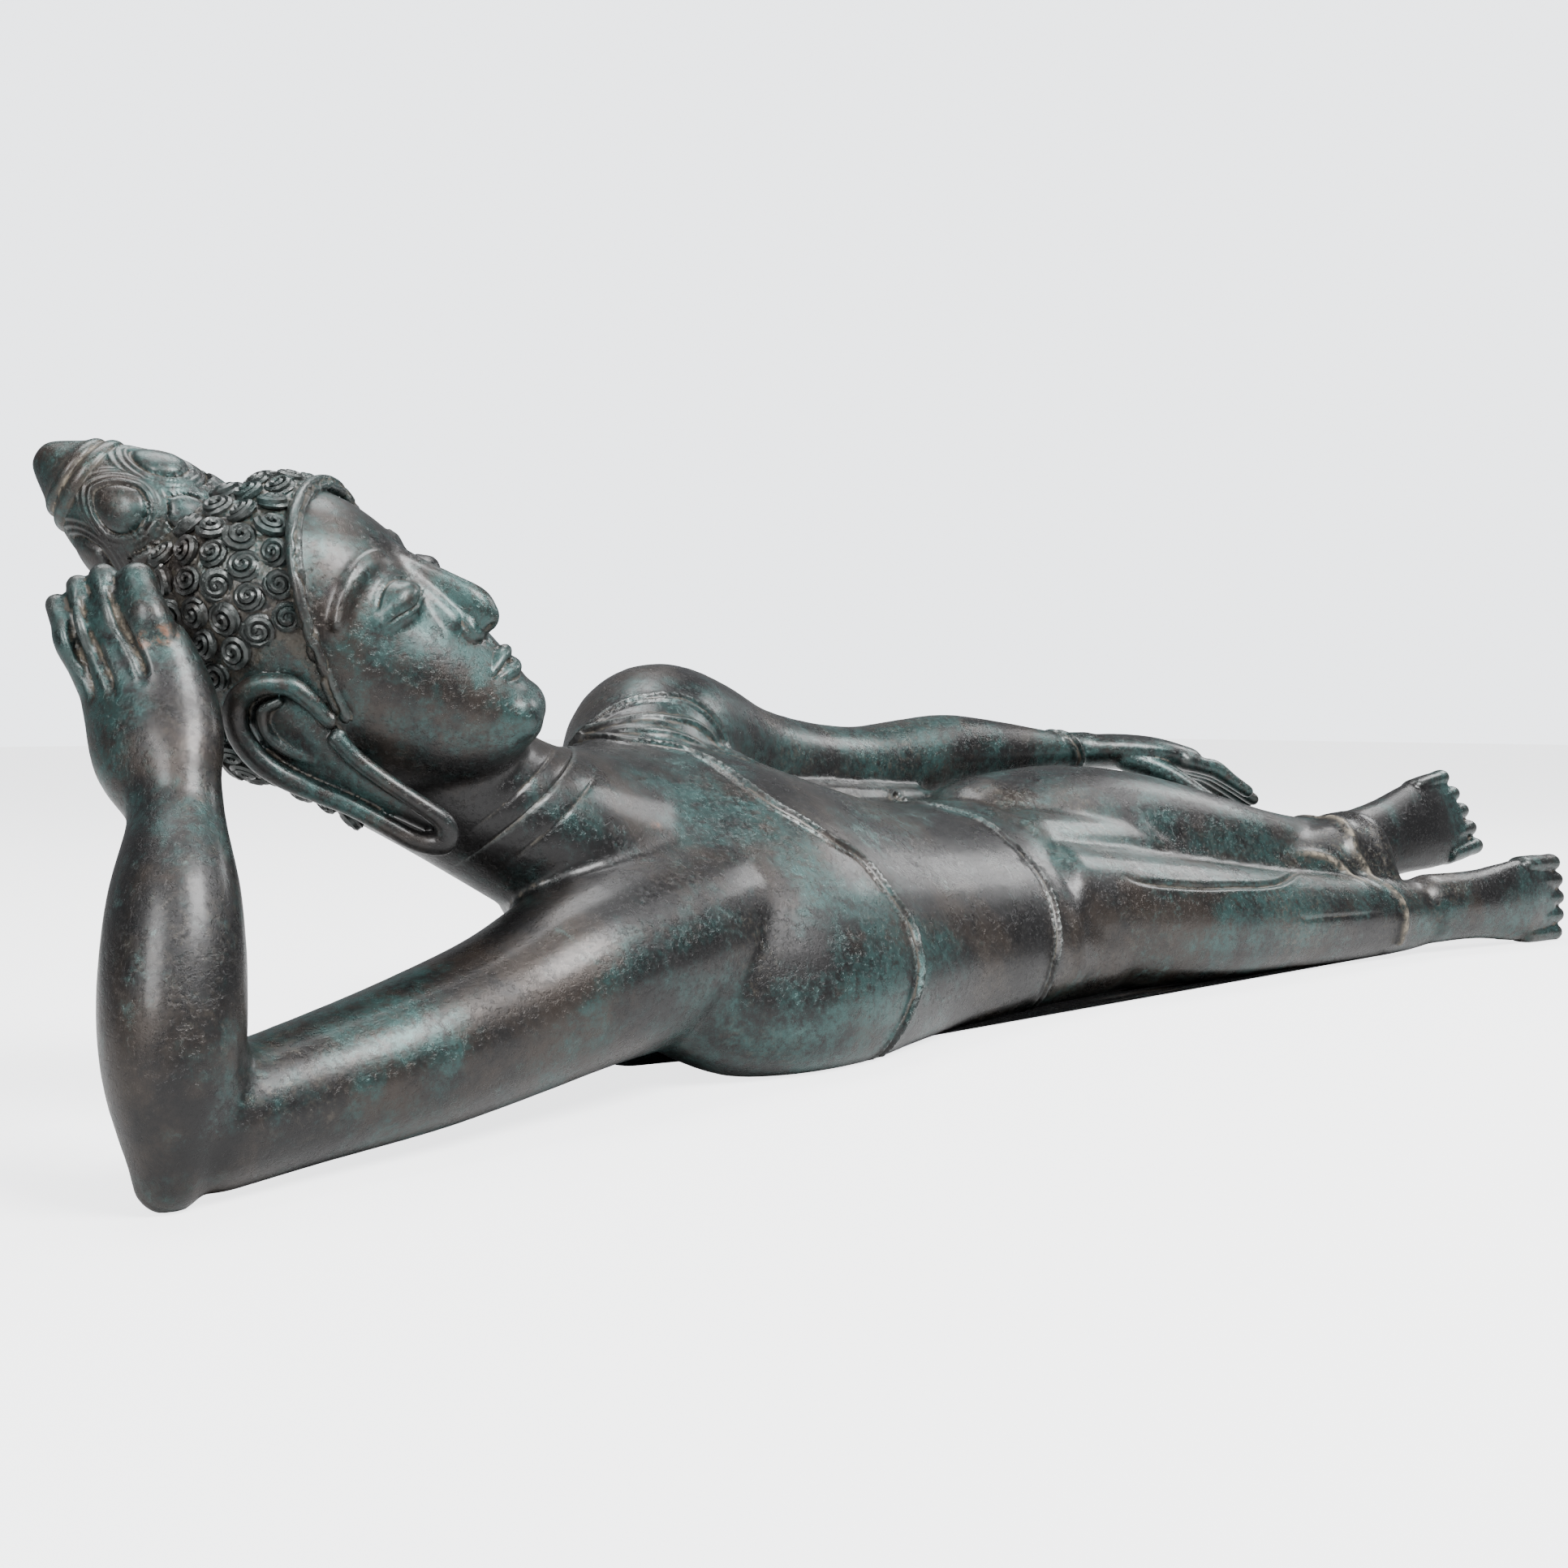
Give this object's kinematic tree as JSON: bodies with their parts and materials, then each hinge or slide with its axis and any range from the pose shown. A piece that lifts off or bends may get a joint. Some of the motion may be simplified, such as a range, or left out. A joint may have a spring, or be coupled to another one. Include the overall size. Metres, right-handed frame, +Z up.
{
  "type": "reclining buddha statue",
  "caption": "Cast bronze figure lying on its side in a robe, head propped on one hand, with curled hair, tiered topknot and long ears.",
  "frame": {"origin": "centre of the bounding box in plan, on the ground plane under the figure", "axes": "+X from the head towards the feet, -Y the side the figure's face and front look towards, +Z up"},
  "size_m": [0.8728, 0.2172, 0.2287],
  "materials": {
    "bronze": "dark brown-green patina with a waxed satin sheen"
  },
  "bodies": {
    "root": {"reclining_buddha": "bronze"}
  },
  "joints": []
}
